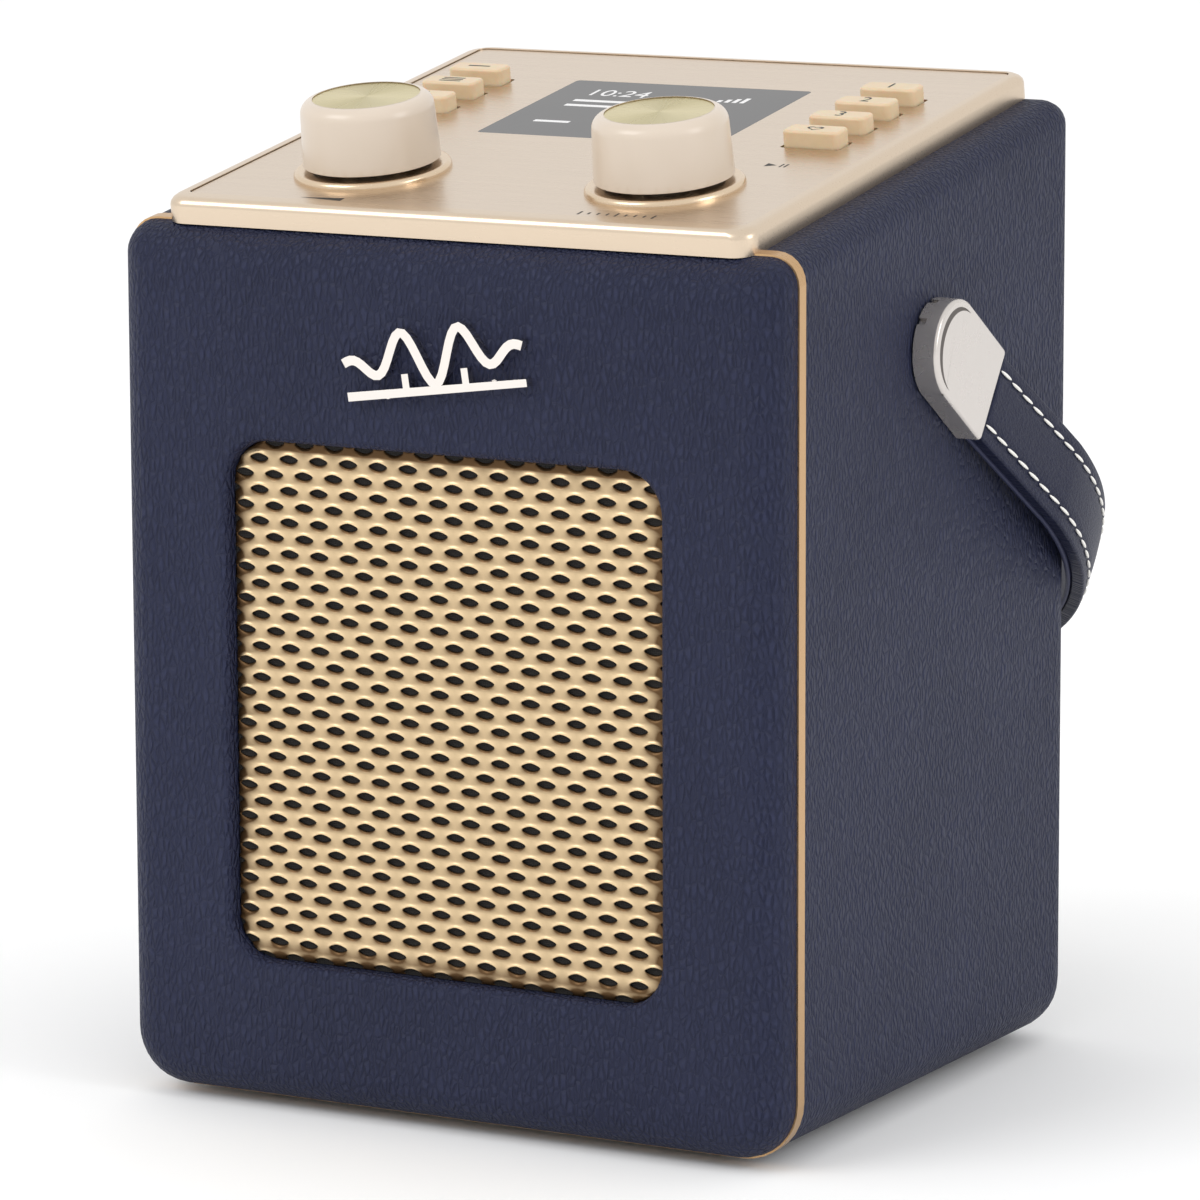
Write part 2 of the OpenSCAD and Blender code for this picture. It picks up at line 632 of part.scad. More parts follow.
module main_board() color([0.10, 0.35, 0.20]) {
    difference() {
        translate([0, main_y + main_len / 2, main_z]) slab(main_w, main_len, board_t, 1);
        main_corners() translate([0, 0, main_z - 1]) cylinder(r = small_screw_r + fit, h = 4);
    }
    // amplifier chip and its reservoir capacitors
    translate([-30, main_y + 14, main_z + board_t]) slab(12, 12, 1.6, 0.4);
    for (i = [0:2]) translate([-30 + 11 * i, main_y + 34, main_z + board_t]) cylinder(r = 4, h = 9);
}

module tuner_module() color([0.78, 0.79, 0.80])
    translate([26, main_y + 16, main_z + board_t]) slab(26, 20, 4, 0.6);

module board_screws() color([0.75, 0.75, 0.76]) {
    main_corners() translate([0, 0, main_z + board_t]) board_screw();
    on_top() board_corners() translate([0, 0, board_top - board_t]) rotate([180, 0, 0]) board_screw();
}
module board_screw() {
    cylinder(r = 1.9, h = 1.3);
    translate([0, 0, -5]) cylinder(r = small_screw_r, h = 5.5);
}

// A socket on the main board whose nose shows through the rear panel
module socket(x, nose_r, bore_r, deep, w) translate([x, rear_y, socket_z]) rotate([90, 0, 0]) difference() {
    union() {
        cylinder(r = nose_r, h = rear_t + 0.5);
        translate([0, (socket_z - main_z - board_t - 5) / 2, rear_t]) slab(w, 10, deep - rear_t + 1.5, 0.5);
    }
    translate([0, 0, -1]) cylinder(r = bore_r, h = deep + 1);
}
module headphone_socket() color([0.10, 0.10, 0.11]) socket(phone_x, phone_nose_r, phone_d / 2, 12, 8);
module dc_socket() color([0.10, 0.10, 0.11]) {
    socket(power_x, power_nose_r, power_d / 2, 10, 9);
    translate([power_x, rear_y - 1, socket_z]) rotate([90, 0, 0]) cylinder(r = power_pin_r, h = 9.5);
}

module battery_tray() color([0.12, 0.12, 0.13])
    translate([tray_x, rear_in, tray_z + tray_in_h / 2]) rotate([90, 0, 0]) difference() {
        slab(tray_in_w + 2 * tray_wall, tray_in_h + 2 * tray_wall, tray_depth + tray_wall, 1.5);
        translate([0, 0, -1]) slab(tray_in_w, tray_in_h, tray_depth + 1, 1);
    }

// The four cells lie in two layers of two, turned end for end by turns
module cell_places() for (layer = [0, 1], row = [0, 1])
    translate([tray_x, rear_in - 1 - cell_d / 2 - layer * cell_pitch, 0])
        translate([0, 0, tray_z + 0.5 + cell_pitch * (row + 0.5)])
            rotate([0, 0, 180 * ((layer + row) % 2)]) children();

module batteries() color([0.25, 0.45, 0.35]) cell_places()
    translate([-cell_len / 2, 0, 0]) rotate([0, 90, 0]) {
        cylinder(r = cell_d / 2, h = cell_len - nub_h);
        cylinder(r = nub_r, h = cell_len);
    }

module battery_contacts() color([0.80, 0.80, 0.78]) cell_places() for (end = [-1, 1])
    translate([end * (tray_in_w / 2 - 0.25), 0, 0]) {
        cube([0.5, 11, 11], center = true);
        // sprung side of each cell
        rotate([0, -90 * end, 0]) cylinder(r1 = 4, r2 = 2.5, h = (tray_in_w - cell_len) / 2 - 0.25 - fit);
    }

module battery_door() color([0.09, 0.10, 0.14]) translate([tray_x, 0, 0]) difference() {
    union() {
        translate([-door_w / 2, rear_y - door_t, hinge_z]) cube([door_w, door_t, door_h - door_t / 2]);
        // rounded hinge edge and its two pins
        translate([-door_w / 2, hinge_y, hinge_z]) rotate([0, 90, 0]) cylinder(r = door_t / 2, h = door_w);
        translate([-door_w / 2 - 1.4, hinge_y, hinge_z]) rotate([0, 90, 0])
            cylinder(r = hinge_pin_r, h = door_w + 2.8);
    }
    // grip lines by the latch
    for (i = [0:4]) translate([-8, rear_y - 0.4, door_z + door_h - 5 - 2 * i]) cube([16, 1, 0.8]);
}

// Aerial frame: x along the folded rod, from the elbow
module on_aerial() translate([aerial_x, tilt_y, aerial_z]) children();

module aerial_base() color([0.80, 0.80, 0.81]) {
    translate([aerial_x, rear_y, aerial_z]) rotate([-90, 0, 0]) {
        translate([0, 0, gap - 0.2]) cylinder(r = 6, h = boss_h - gap + 0.2);
        translate([0, 0, -rear_t - 1.5]) cylinder(r = swivel_r, h = rear_t + 3);
        translate([0, 0, -rear_t - 1.5]) cylinder(r = swivel_r + 0.9, h = 1.2);
    }
    // two cheeks that hold the elbow
    root = rear_y + boss_h - 0.3 - tilt_y;
    on_aerial() for (side = [-1, 1]) translate([0, 0, side * 2.6]) {
        translate([-tongue_r, root, -0.8]) cube([2 * tongue_r, -root, 1.6]);
        cylinder(r = tongue_r, h = 1.6, center = true);
    }
    on_aerial() cylinder(r = 1, h = 6, center = true);
}

module aerial_elbow() color([0.80, 0.80, 0.81]) on_aerial() difference() {
    union() {
        cylinder(r = tongue_r, h = 3, center = true);
        translate([0, -2, -1.5]) cube([tube_x - aerial_x, 4, 3]);
    }
    cylinder(r = 1 + run, h = 10, center = true);
}

// A tube along x whose outer radius steps down with each stage
function stage_r(stage) = aerial_d / 2 - stage * (tube_wall + run);
module stage(n, hollow) on_aerial() translate([tube_x - aerial_x + stage_step * n, 0, 0]) rotate([0, 90, 0])
    difference() {
        cylinder(r = stage_r(n), h = aerial_len - 0.2 * n);
        if (hollow) translate([0, 0, n == 0 ? 0.4 : -1])
            cylinder(r = stage_r(n) - tube_wall, h = aerial_len + 2);
    }
module aerial_tube_one() color([0.83, 0.83, 0.84]) stage(0, true);
module aerial_tube_two() color([0.83, 0.83, 0.84]) stage(1, true);
module aerial_tube_three() color([0.83, 0.83, 0.84]) stage(2, true);
module aerial_rod() color([0.83, 0.83, 0.84]) {
    stage(3, false);
    on_aerial() translate([tube_x - aerial_x + aerial_len + 0.9, 0, 0]) rotate([0, 90, 0])
        cylinder(r1 = 2.7, r2 = 2.2, h = 4);
}

// A point of the strap's outer face or a face a depth below it: legs, then half an ellipse
function strap_face(depth) = concat([[arm_out - 0.2 - depth, arm_len]],
    [for (a = [0:5:180]) [(arch_half - depth) * cos(a), arch_start + (arch_reach - depth) * sin(a)]],
    [[-arm_out + 0.2 + depth, arm_len]]);
function backwards(list) = [for (i = [len(list) - 1:-1:0]) list[i]];
module band(outer, inner, w) on_handle() linear_extrude(w, center = true)
    polygon(concat(strap_face(outer), backwards(strap_face(inner))));

module strap() color([0.08, 0.10, 0.20]) {
    band(0, strap_t, strap_w);
    // tongues gripped inside the arms
    on_handle() each_side() translate([tongue_x, tongue_start, -strap_w / 2])
        cube([tongue_t, arm_len - tongue_start, strap_w]);
}

module strap_lining() color([0.09, 0.11, 0.20]) band(strap_t, strap_t + lining_t, lining_w);

// A flat casting with one round end, a slot for the strap and the stud it turns on
module arm() on_handle() {
    difference() {
        translate([arm_x, 0, 0]) rotate([90, 0, 90]) linear_extrude(arm_t) {
            circle(arm_r);
            translate([0, -arm_r]) square([arm_len, 2 * arm_r]);
        }
        translate([tongue_x - fit, tongue_start - fit, -strap_w / 2 - fit])
            cube([tongue_t + 2 * fit, arm_len, strap_w + 2 * fit]);
        // two notches in the rim of the round end
        for (a = [140, 175]) rotate([a, 0, 0]) translate([arm_x - 1, arm_r - 0.7, -0.6])
            cube([2.4, 2, 1.2]);
    }
    translate([bush_in - gap - nut_t - 0.5, 0, 0]) rotate([0, 90, 0])
        cylinder(r = stud_d / 2, h = arm_x - bush_in + gap + nut_t + 1);
}
module arm_right() color([0.84, 0.82, 0.80]) arm();
module arm_left() color([0.84, 0.82, 0.80]) mirror([1, 0, 0]) arm();

module pivot_bushes() color([0.75, 0.62, 0.35]) each_side()
    translate([bush_in, pivot_y, pivot_z]) rotate([0, 90, 0]) difference() {
        union() {
            cylinder(r = bush_out_r, h = half_w - bush_in);
            translate([0, 0, 1.5]) cylinder(r = bush_out_r + 2.5, h = 2);
        }
        translate([0, 0, -1]) cylinder(r = stud_d / 2 + run, h = 20);
    }

module pivot_nuts() color([0.75, 0.75, 0.76]) on_handle() each_side()
    translate([bush_in - gap - nut_t, 0, 0]) rotate([0, 90, 0]) difference() {
        cylinder(r = stud_d / 2 + 2.4, h = nut_t, $fn = 6);
        translate([0, 0, -1]) cylinder(r = stud_d / 2 + fit, h = nut_t + 2);
    }

cabinet_shell();
front_panel();
trim_strip();
rear_panel();
rear_screws();
feet();
top_bezel();
top_plate();
display_window();
display_module();
control_board();
key_switches();
preset_one_button();
preset_two_button();
preset_three_button();
favourite_button();
mode_button();
menu_button();
info_button();
volume_knob();
volume_disc();
volume_collar();
volume_shaft();
volume_plunger();
volume_encoder();
tuning_knob();
tuning_disc();
tuning_collar();
tuning_shaft();
tuning_plunger();
tuning_encoder();
badge();
speaker_grille();
grille_cloth();
speaker_frame();
speaker_magnet();
speaker_cone();
voice_coil();
speaker_screws();
main_board();
tuner_module();
board_screws();
dc_socket();
headphone_socket();
battery_tray();
battery_door();
batteries();
battery_contacts();
aerial_base();
aerial_elbow();
aerial_tube_one();
aerial_tube_two();
aerial_tube_three();
aerial_rod();
strap();
strap_lining();
arm_left();
arm_right();
pivot_bushes();
pivot_nuts();
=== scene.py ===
import math

import bpy
from mathutils import Matrix, Vector


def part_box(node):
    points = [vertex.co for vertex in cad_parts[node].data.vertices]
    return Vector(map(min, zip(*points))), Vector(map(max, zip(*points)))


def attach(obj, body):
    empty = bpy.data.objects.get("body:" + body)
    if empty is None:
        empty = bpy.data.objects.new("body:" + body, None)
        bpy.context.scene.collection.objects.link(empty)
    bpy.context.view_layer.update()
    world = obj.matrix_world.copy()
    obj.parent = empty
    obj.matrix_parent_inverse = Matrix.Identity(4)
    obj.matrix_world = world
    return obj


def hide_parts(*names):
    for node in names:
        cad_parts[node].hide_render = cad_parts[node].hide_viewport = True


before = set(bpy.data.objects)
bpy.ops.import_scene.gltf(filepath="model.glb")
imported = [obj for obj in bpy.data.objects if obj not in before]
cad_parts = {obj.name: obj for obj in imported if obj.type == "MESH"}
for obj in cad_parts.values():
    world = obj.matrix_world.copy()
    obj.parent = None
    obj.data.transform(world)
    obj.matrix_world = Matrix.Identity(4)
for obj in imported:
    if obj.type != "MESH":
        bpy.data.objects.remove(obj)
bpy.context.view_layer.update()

# Stand: a seamless pale floor under a big soft tent of light, with one lamp box over the left shoulder
# and a smaller one on the right. The lens is long and stands about a metre away, a little above the radio.
bpy.ops.object.select_all(action="DESELECT")
bpy.ops.object.camera_add()
camera = bpy.context.object
camera.name = "camera"
camera.data.lens = 195.24
camera.data.sensor_width = 36
camera.data.clip_end = 30
camera.matrix_world = (
    Matrix.Translation((0.499209, -0.908899, 0.259841))
    @ Matrix.Rotation(math.radians(28.8268), 4, "Z")
    @ Matrix.Rotation(math.radians(79.9989), 4, "X")
    @ Matrix.Rotation(math.radians(-0.1855), 4, "Z")
)
bpy.context.scene.camera = camera
bpy.context.scene.view_settings.view_transform = "Standard"


def tone(red, green, blue):
    """A colour as it looks, from 0 to 255, made ready for a shader."""
    parts = [c / 255 for c in (red, green, blue)]
    return (*[c / 12.92 if c <= 0.04045 else ((c + 0.055) / 1.055) ** 2.4 for c in parts], 1)


class Signal:
    """A shader socket that takes part in sums like a number."""

    def __init__(self, finish, socket):
        self.finish = finish
        self.socket = socket

    def math(self, operation, *others):
        inputs = dict(enumerate((self, *others)))
        return self.finish.node("Math", {"operation": operation}, inputs)

    def __add__(self, other):
        return self.math("ADD", other)

    def __sub__(self, other):
        return self.math("SUBTRACT", other)

    def __rsub__(self, other):
        return self.finish.node("Math", {"operation": "SUBTRACT"}, {0: other, 1: self})

    def __mul__(self, other):
        return self.math("MULTIPLY", other)

    def __lt__(self, other):
        return self.math("LESS_THAN", other)

    def __gt__(self, other):
        return self.math("GREATER_THAN", other)

    __radd__ = __add__
    __rmul__ = __mul__


class Finish:
    """A surface finish: one Principled shader and the nodes that vary it."""

    def __init__(self, name, colour, rough, metal=0.0, **constants):
        self.material = bpy.data.materials.new(name)
        self.material.use_nodes = True
        self.tree = self.material.node_tree
        self.shader = self.tree.nodes["Principled BSDF"]
        self.set(self.shader, {"Base Color": colour, "Roughness": rough, "Metallic": metal})
        self.vary(**constants)

    def set(self, node, inputs):
        for key, value in inputs.items():
            if isinstance(value, Signal):
                self.tree.links.new(value.socket, node.inputs[key])
            else:
                node.inputs[key].default_value = value

    def node(self, kind, settings, inputs, out=0):
        node = self.tree.nodes.new("ShaderNode" + kind)
        for key, value in settings.items():
            setattr(node, key, value)
        self.set(node, inputs)
        return Signal(self, node.outputs[out])

    def place(self, scale=(1, 1, 1), turn=(0, 0, 0), shift=(0, 0, 0)):
        """The point on the piece, turned, moved and stretched for a pattern."""
        here = self.node("TexCoord", {}, {}, "Object")
        inputs = {0: here, "Location": shift, "Rotation": turn}
        turned = self.node("Mapping", {"vector_type": "POINT"}, inputs)
        return self.node("VectorMath", {"operation": "MULTIPLY"}, {0: turned, 1: scale})

    def noise(self, where, scale, detail=2.0, rough=0.5):
        inputs = {"Vector": where, "Scale": scale, "Detail": detail, "Roughness": rough}
        return self.node("TexNoise", {}, inputs)

    def blend(self, amount, first, second):
        return self.node("Mix", {"data_type": "RGBA"}, {0: amount, 6: first, 7: second}, 2)

    def bump(self, height, distance, strength=1.0):
        inputs = {"Height": height, "Distance": distance, "Strength": strength}
        self.set(self.shader, {"Normal": self.node("Bump", {}, inputs)})

    def vary(self, **inputs):
        self.set(self.shader, {key.replace("_", " "): value for key, value in inputs.items()})

    def wander(self, fineness, least, spread, **place):
        """Lets the roughness drift from spot to spot, and hands the drift on for a bump or a tint."""
        drift = self.noise(self.place(**place), fineness)
        self.vary(Roughness=drift * spread + least)
        return drift


floor_finish = Finish("pale_floor", tone(254, 254, 254), 0.9)
floor_finish.wander(40, 0.85, 0.1)
bpy.ops.object.select_all(action="DESELECT")
bpy.ops.mesh.primitive_plane_add(size=16)
floor = bpy.context.object
floor.name = "floor"
floor.data.materials.append(floor_finish.material)

world = bpy.data.worlds.new("tent")
world.use_nodes = True
world.node_tree.nodes["Background"].inputs["Color"].default_value = tone(255, 255, 255)
world.node_tree.nodes["Background"].inputs["Strength"].default_value = 1.0
bpy.context.scene.world = world


def lamp_box(name, place, size, power):
    """A soft box that hangs at a place and points at the middle of the radio."""
    bpy.ops.object.light_add(type="AREA", location=place)
    lamp = bpy.context.object
    lamp.name = name
    lamp.data.shape = "RECTANGLE"
    lamp.data.size, lamp.data.size_y = size
    lamp.data.energy = power
    aim = Vector((0, 0, 0.07)) - Vector(place)
    lamp.rotation_euler = aim.to_track_quat("-Z", "Y").to_euler()


lamp_box("key_box", (-0.7, -1.1, 1.2), (0.9, 0.7), 7)
lamp_box("side_box", (1.4, -0.1, 0.7), (0.5, 0.9), 4)

# Cabinet: a box of thin board with its top cut on a slope. Dyed cowhide is glued over it, so every
# edge is a soft roll, and the fine grain runs up and down the walls.
leather = Finish("leather", tone(34, 38, 62), 0.52, Specular_IOR_Level=0.22)
grain_place = leather.place(scale=(1, 1, 0.45))
pebbles = leather.node("TexVoronoi", {"feature": "DISTANCE_TO_EDGE"}, {"Vector": grain_place, "Scale": 1050})
creases = leather.noise(grain_place, 2000, 3)
patina = leather.noise(leather.place(), 30, 3)
grain = pebbles.math("MINIMUM", 0.3) * 2.2 + creases * 0.5
leather.bump(grain, 0.00048, 1.0)
leather.vary(
    Base_Color=leather.blend(grain * 0.45 + patina * 0.4, tone(20, 24, 46), tone(46, 51, 78)),
    Roughness=creases * 0.16 + 0.44,
)


def only(piece):
    """Makes a piece the one selected and active object."""
    bpy.ops.object.select_all(action="DESELECT")
    piece.select_set(True)
    bpy.context.view_layer.objects.active = piece


def modify(piece, kind, **settings):
    """Adds a modifier with these settings and applies it."""
    only(piece)
    modifier = piece.modifiers.new(kind.lower(), kind)
    for key, value in settings.items():
        setattr(modifier, key, value)
    bpy.ops.object.modifier_apply(modifier=modifier.name)


def smooth(piece, angle=30):
    """Smooth curves between flat faces that stay flat."""
    only(piece)
    bpy.ops.object.shade_smooth_by_angle(angle=math.radians(angle))
    modify(piece, "WEIGHTED_NORMAL", keep_sharp=True, weight=100)


def skin(name, node):
    """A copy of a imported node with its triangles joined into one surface."""
    piece = bpy.data.objects.new(name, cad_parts[node].data.copy())
    bpy.context.scene.collection.objects.link(piece)
    only(piece)
    bpy.ops.mesh.customdata_custom_splitnormals_clear()
    bpy.ops.object.mode_set(mode="EDIT")
    bpy.ops.mesh.select_all(action="SELECT")
    bpy.ops.mesh.remove_doubles(threshold=1e-6)
    bpy.ops.object.mode_set(mode="OBJECT")
    return piece


def fit(piece, finish, body, slot, *nodes):
    """Gives a finished piece its material, the body it rides on and the nodes it stands for."""
    piece.data.materials.clear()
    piece.data.materials.append(finish.material)
    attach(piece, body)
    if nodes:
        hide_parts(*nodes)


def dress(finish, *nodes):
    """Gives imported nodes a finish."""
    for node in nodes:
        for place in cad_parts[node].material_slots:
            place.material = finish.material


cabinet = skin("cabinet_leather", "cabinet_shell")
smooth(cabinet)
fit(cabinet, leather, "cabinet", "leather", "cabinet_shell")

# Front board: its own leather-covered panel, rounded at the face and plugged into the box.
front = skin("front_leather", "front_panel")
smooth(front)
fit(front, leather, "cabinet", "leather", "front_panel")

# Piping: a flat strip of gilt metal, bent to the cabinet's outline and trapped between front and box.
gilt = Finish("piping", tone(196, 160, 118), 0.28, 1.0)
gilt_streaks = gilt.wander(900, 0.2, 0.2, scale=(1, 6, 1))
gilt.bump(gilt_streaks, 0.00002, 0.4)
piping = skin("gilt_piping", "trim_strip")
smooth(piping)
fit(piping, gilt, "cabinet", "piping", "trim_strip")

# Feet: four pads of moulded rubber glued under the cabinet.
rubber = Finish("rubber", tone(34, 34, 36), 0.8)
rubber_mottle = rubber.wander(1800, 0.7, 0.2)
rubber.bump(rubber_mottle, 0.00004)
dress(rubber, "feet")

# Grille: one sheet of expanded metal, slit and drawn so that each strand stands up in an arch, then
# sprayed a warm cream gold. Black cloth behind it keeps dust off the cone.
mesh_paint = Finish("grille_paint", tone(236, 210, 168), 0.34, 0.8)
mesh_flecks = mesh_paint.wander(2500, 0.26, 0.2)
mesh_paint.bump(mesh_flecks, 0.00002, 0.5)
cell_w, cell_h = 0.0054, 0.0025
hole_w, hole_up, hole_down = 0.00198, 0.00086, 0.00064
lip_w, lip_h = 0.0023, 0.00122
upper_lean, lower_lean, lip_lean = 0.45, 0.8, 0.1
corner_in, corner_down = 0.5, 0.62
sheet_t, sheet_back = 0.0004, 0.0005
shade_back, shade_rate = 0.00034, 4000
corner_r = 0.007
rim_w, rim_back = 0.0035, 0.0004


def add(kind, name, **settings):
    """A new primitive, the one thing selected, with its place, turn and scale in its mesh."""
    bpy.ops.object.select_all(action="DESELECT")
    getattr(bpy.ops.mesh, f"primitive_{kind}_add")(**settings)
    bpy.ops.object.transform_apply(location=True, rotation=True, scale=True)
    piece = bpy.context.object
    piece.name = name
    return piece


def pick(piece, kind, test):
    """Selects the vertices, edges or faces of a piece that pass a test, and opens it for editing."""
    only(piece)
    bpy.ops.object.mode_set(mode="EDIT")
    bpy.ops.mesh.select_mode(type={"vertices": "VERT", "edges": "EDGE", "polygons": "FACE"}[kind])
    bpy.ops.mesh.select_all(action="DESELECT")
    bpy.ops.object.mode_set(mode="OBJECT")
    for part in getattr(piece.data, kind):
        part.select = test(part)
    bpy.ops.object.mode_set(mode="EDIT")


def close():
    """Ends the editing that pick began."""
    bpy.ops.object.mode_set(mode="OBJECT")


def settle(piece, turn=Matrix()):
    """Moves a piece from the bench to its place, which then lies in its mesh."""
    piece.data.transform(turn @ piece.matrix_world)
    piece.matrix_world = Matrix()


def repeat(piece, count, step, **settings):
    """A row of copies, each a step from the last."""
    modify(piece, "ARRAY", count=count, use_relative_offset=False, use_constant_offset=True,
           constant_offset_displace=step, **settings)


low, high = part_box("speaker_grille")
face_y = low.y + sheet_back
# Painted shade: the paint turns brown the further a spot lies behind the face, in the lower lips of the holes
# and at the pushed-back rim, where shade falls.
painted_recess_shade = mesh_paint.node("SeparateXYZ", {}, {0: mesh_paint.place()}, "Y") - (face_y - shade_back)
mesh_paint.vary(Base_Color=mesh_paint.blend(painted_recess_shade * shade_rate, tone(234, 207, 165), tone(92, 68, 42)))
grille = add("grid", "grille_mesh", x_subdivisions=2, y_subdivisions=2, size=1)
pick(grille, "polygons", lambda face: True)
bpy.ops.mesh.inset(thickness=0.2)
bpy.ops.mesh.inset(thickness=0.05)
bpy.ops.mesh.delete(type="FACE")
close()
for vertex in grille.data.vertices:
    x, y = vertex.co.x, vertex.co.y
    ring = max(abs(x), abs(y))
    if ring > 0.4:
        vertex.co = (x * cell_w, y * cell_h, 0)
        continue
    half_w, half_h, lean = lip_w, lip_h, lip_lean
    if ring < 0.28:
        half_w = hole_w
        half_h, lean = (hole_up, upper_lean) if y > 0 else (hole_down, lower_lean)
    if abs(x * y) > 0.01:
        half_w, half_h = half_w * corner_in, half_h * corner_down
    up = y / ring * half_h
    vertex.co = (x / ring * half_w, up, up * lean)
columns = math.ceil((high.x - low.x) / cell_w) + 1
rows = math.ceil((high.z - low.z) / cell_h / 2) + 1
for count, step in ((2, (cell_w / 2, cell_h, 0)), (columns, (cell_w, 0, 0)), (rows, (0, 2 * cell_h, 0))):
    repeat(grille, count, step, use_merge_vertices=True, merge_threshold=1e-5)
middle = sum((Vector(c) for c in grille.bound_box), Vector()) / 8
window = (low + high) / 2
settle(grille, Matrix.Translation((window.x, face_y, window.z)) @ Matrix.Rotation(math.radians(90), 4, "X")
       @ Matrix.Translation(-middle))
reach = Vector((high.x - low.x, 0, high.z - low.z)) / 2
for turn in range(0, 360, 15):
    out = Vector((math.cos(math.radians(turn)), 0, math.sin(math.radians(turn))))
    side = Vector((math.copysign(reach.x - corner_r, out.x), 0, math.copysign(reach.z - corner_r, out.z)))
    pick(grille, "polygons", lambda face: True)
    bpy.ops.mesh.bisect(plane_co=window + side + out * corner_r, plane_no=out, clear_outer=True)
    close()
for vertex in grille.data.vertices:
    gap_x = reach.x - abs(vertex.co.x - window.x)
    gap_z = reach.z - abs(vertex.co.z - window.z)
    vertex.co.y += rim_back * max(0, 1 - min(gap_x, gap_z) / rim_w) ** 2
modify(grille, "SOLIDIFY", thickness=sheet_t, offset=0)
modify(grille, "SUBSURF", levels=1, render_levels=1)
only(grille)
bpy.ops.object.shade_smooth()
fit(grille, mesh_paint, "cabinet", "grille", "speaker_grille")

cloth = Finish("speaker_cloth", tone(26, 24, 23), 0.95)
threads = cloth.node("TexWave", {"bands_direction": "X"}, {"Vector": cloth.place(), "Scale": 900})
cross_threads = cloth.node("TexWave", {"bands_direction": "Z"}, {"Vector": cloth.place(), "Scale": 900})
weave = threads.math("MAXIMUM", cross_threads)
cloth.vary(Base_Color=cloth.blend(weave, tone(18, 17, 16), tone(36, 33, 31)))
cloth.bump(weave, 0.0001, 0.6)
dress(cloth, "grille_cloth")

# Ornament: a wave on a tapered bar, cast in zinc, chromed, and held by two pins through the leather.
chrome = Finish("chrome", tone(226, 220, 214), 0.1, 1.0)
chrome.wander(700, 0.06, 0.08)


def ease(piece, width, segments=2, angle=60):
    """Rounds off every edge that turns by more than an angle."""
    modify(piece, "BEVEL", width=width, segments=segments, limit_method="ANGLE",
           angle_limit=math.radians(angle))


ornament = skin("chrome_ornament", "badge")
ease(ornament, 0.00016, angle=50)
smooth(ornament)
fit(ornament, chrome, "cabinet", "chrome", "badge")

# Bezel: a pressed champagne frame over the top opening, satin all round, with a rolled outer edge.
top_tilt = math.radians(9.2)
top = Matrix.Translation((0, -0.0533, 0.1401)) @ Matrix.Rotation(top_tilt, 4, "X")
satin = Finish("champagne", tone(216, 198, 176), 0.3, 1.0)
satin_hairs = satin.noise(satin.place(scale=(0.04, 1, 1)), 6000, 3)
satin.vary(Roughness=satin_hairs * 0.16 + 0.22)
satin.bump(satin_hairs, 0.000012, 0.35)
bezel = skin("champagne_bezel", "top_bezel")
smooth(bezel, 40)
fit(bezel, satin, "cabinet", "champagne", "top_bezel")

# Plate: a sheet of champagne aluminium inside the bezel, brushed from side to side before it is punched.
brushed = Finish("brushed_plate", tone(214, 198, 178), 0.3, 1.0)
long_hairs = brushed.noise(brushed.place(scale=(0.012, 1, 1)), 5200, 3, 0.7)
broad_hairs = brushed.noise(brushed.place(scale=(0.01, 1, 1)), 1100, 2)
hairs = long_hairs * 0.7 + broad_hairs * 0.3
brushed.vary(
    Base_Color=brushed.blend(hairs, tone(196, 178, 157), tone(229, 213, 195)),
    Roughness=hairs * 0.22 + 0.18,
)
brushed.bump(hairs, 0.000018, 0.5)
dress(brushed, "top_plate")

# Display: a smoked glass window flush with the plate. Behind it a clock, two lines of the station list
# as plain bars, and a row of signal bars are lit.
smoked = Finish("smoked_glass", tone(30, 28, 28), 0.1, Specular_IOR_Level=0.38)
glass_fade = smoked.noise(smoked.place(), 60)
smoked.vary(Base_Color=smoked.blend(glass_fade, tone(30, 28, 29), tone(44, 41, 41)))
dress(smoked, "display_window")
lit = Finish("lit_figures", tone(206, 205, 205), 0.5, Emission_Strength=0.25)
lit_flicker = lit.noise(lit.place(), 2000)
lit.vary(Emission_Color=lit.blend(lit_flicker, tone(200, 200, 200), tone(235, 235, 235)))
glass_top = 0.00391
marks_at = Vector((0, 0.0686, glass_top))
figure_t, bar_t = 0.00002, 0.00004


def lay_on_top(piece, at, finish, slot, body="cabinet"):
    """Lays a thin printed or lit mark on the sloping top at a place given along and square to it."""
    settle(piece, top @ Matrix.Translation(at))
    fit(piece, finish, body, slot)


def figures(name, text, height):
    """Cut-out figures, flat on the bench and centred."""
    bpy.ops.object.select_all(action="DESELECT")
    bpy.ops.object.text_add()
    piece = bpy.context.object
    piece.name = name
    piece.data.body = text
    piece.data.size = height
    piece.data.align_x = "CENTER"
    piece.data.align_y = "CENTER"
    piece.data.extrude = figure_t
    bpy.ops.object.convert(target="MESH")
    return bpy.context.object


def bar(name, width, depth):
    """A thin strip with eased corners, flat on the bench."""
    piece = add("cube", name, size=1, scale=(width, depth, bar_t))
    ease(piece, min(width, depth) * 0.3, 3, 30)
    return piece


lay_on_top(figures("clock_figures", "10:24", 0.0052), marks_at + Vector((-0.0102, 0.0098, 0)), lit, "glass")
for index, (x, y, width, depth) in enumerate((
    (-0.0075, 0.0048, 0.0165, 0.0012), (-0.0095, 0.0018, 0.0125, 0.0012), (-0.0126, -0.0085, 0.0065, 0.0011),
    (0.0092, 0.0085, 0.0008, 0.0012), (0.0106, 0.0088, 0.0008, 0.0018), (0.012, 0.0091, 0.0008, 0.0024),
    (0.0134, 0.0094, 0.0008, 0.003),
)):
    lay_on_top(bar(f"display_bar_{index}", width, depth), marks_at + Vector((x, y, 0)), lit, "glass")

